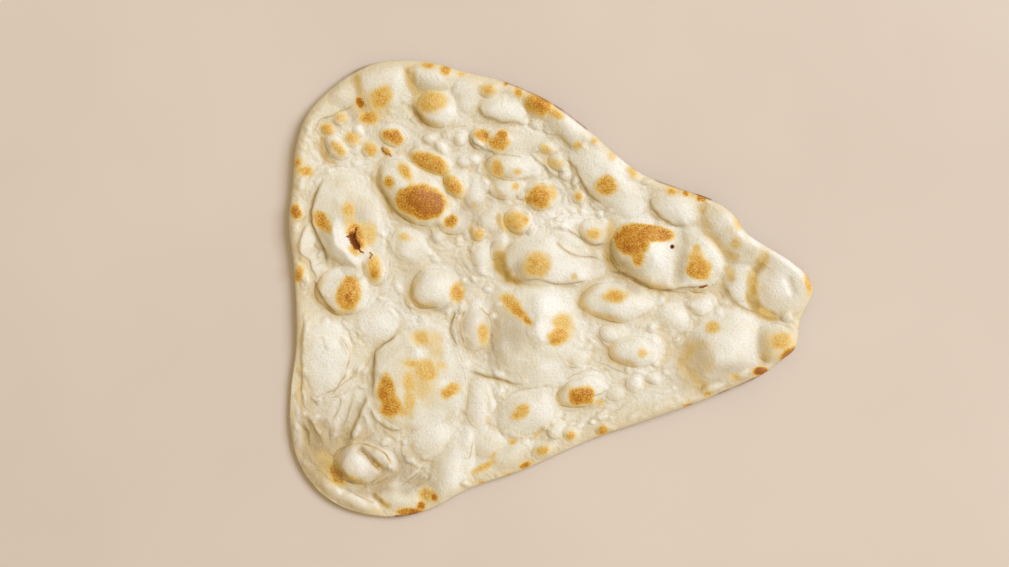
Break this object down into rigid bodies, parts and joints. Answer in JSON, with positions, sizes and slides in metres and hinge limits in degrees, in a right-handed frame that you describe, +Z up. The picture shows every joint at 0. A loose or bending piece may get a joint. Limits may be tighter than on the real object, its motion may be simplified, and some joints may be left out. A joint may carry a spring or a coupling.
{
  "type": "naan bread",
  "caption": "Teardrop-shaped leavened flatbread with a blistered, browned upper face, a thicker rolled rim and a flat underside that it rests on.",
  "frame": {"origin": "on the table under the middle of the bread's box", "axes": "+X along the bread from the wide end to the narrow tip, +Y across the wide end, +Z up out of the blistered face"},
  "size_m": [0.292, 0.255, 0.0163],
  "materials": {
    "baked_dough": "matte, floury cream dough with golden to orange-brown spots on the blisters"
  },
  "bodies": {
    "root": {"naan": "baked_dough"}
  },
  "joints": []
}
